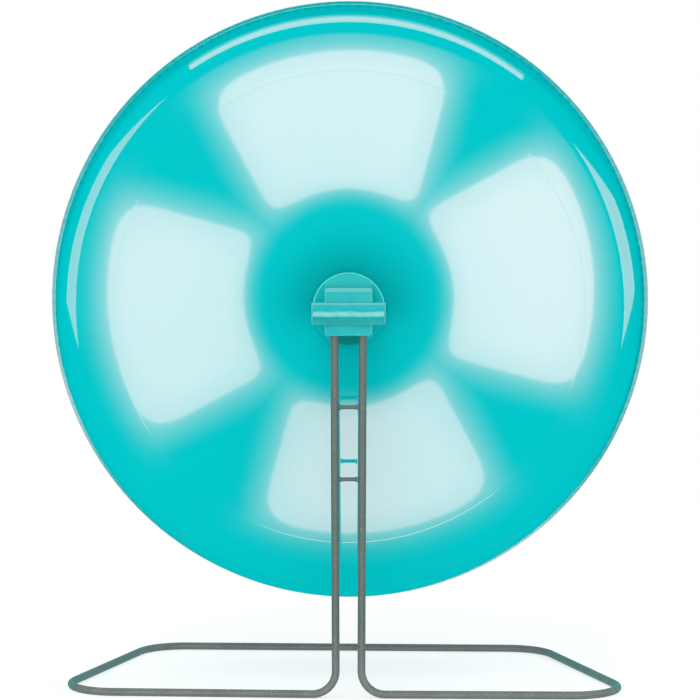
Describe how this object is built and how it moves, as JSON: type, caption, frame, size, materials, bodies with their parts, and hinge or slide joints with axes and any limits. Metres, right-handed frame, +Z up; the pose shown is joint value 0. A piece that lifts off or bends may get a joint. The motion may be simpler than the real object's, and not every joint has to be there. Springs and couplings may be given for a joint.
{
  "type": "rodent exercise wheel",
  "caption": "Dish-shaped running wheel for small rodents that turns on a hub bearing, held by a bent wire stand with a flat base loop.",
  "frame": {"origin": "on the floor, under the middle of the outer box, with the stand's base loop resting on the floor", "axes": "+Z up; +Y along the axle from the stand's uprights towards the wheel's open side; +X to the right when looking along +Y at the closed side"},
  "size_m": [0.3298, 0.144, 0.3616],
  "materials": {
    "grey_wire": "satin grey coated steel wire",
    "pale_turquoise_plastic": "slightly milky moulded plastic",
    "turquoise_plastic": "high gloss moulded plastic",
    "zinc_steel": "zinc plated",
    "bearing_steel": "ground bearing steel",
    "cage_nylon": "natural nylon"
  },
  "bodies": {
    "stand": {"stand_wire": "grey_wire", "crossbar_upper": "grey_wire", "crossbar_lower": "grey_wire", "wire_clamp": "pale_turquoise_plastic", "axle_bracket": "pale_turquoise_plastic", "clamp_screw_1": "zinc_steel", "clamp_screw_2": "zinc_steel", "clamp_screw_3": "zinc_steel", "axle_nut": "zinc_steel", "axle_bolt": "zinc_steel", "hub_spacer": "zinc_steel", "shim_washer": "zinc_steel", "bearing_inner_ring": "bearing_steel"},
    "ball_set": {"ball_cage": "cage_nylon", "bearing_ball_1": "bearing_steel", "bearing_ball_2": "bearing_steel", "bearing_ball_3": "bearing_steel", "bearing_ball_4": "bearing_steel", "bearing_ball_5": "bearing_steel", "bearing_ball_6": "bearing_steel", "bearing_ball_7": "bearing_steel"},
    "wheel": {"wheel_dish": "turquoise_plastic", "bearing_outer_ring": "bearing_steel", "bearing_shield_front": "bearing_steel", "bearing_shield_rear": "bearing_steel", "hub_cap": "turquoise_plastic"}
  },
  "joints": [
    {"name": "wheel_spin", "type": "hinge", "parent": "stand", "child": "wheel", "pos_m": [0, -0.0461, 0.1966], "axis": [0, 1, 0], "continuous": true},
    {"name": "ball_set_spin", "type": "hinge", "parent": "stand", "child": "ball_set", "pos_m": [0, -0.0461, 0.1966], "axis": [0, 1, 0], "continuous": true}
  ],
  "couplings": [
    {"joint": "ball_set_spin", "follows": "wheel_spin", "ratio": 0.632}
  ]
}
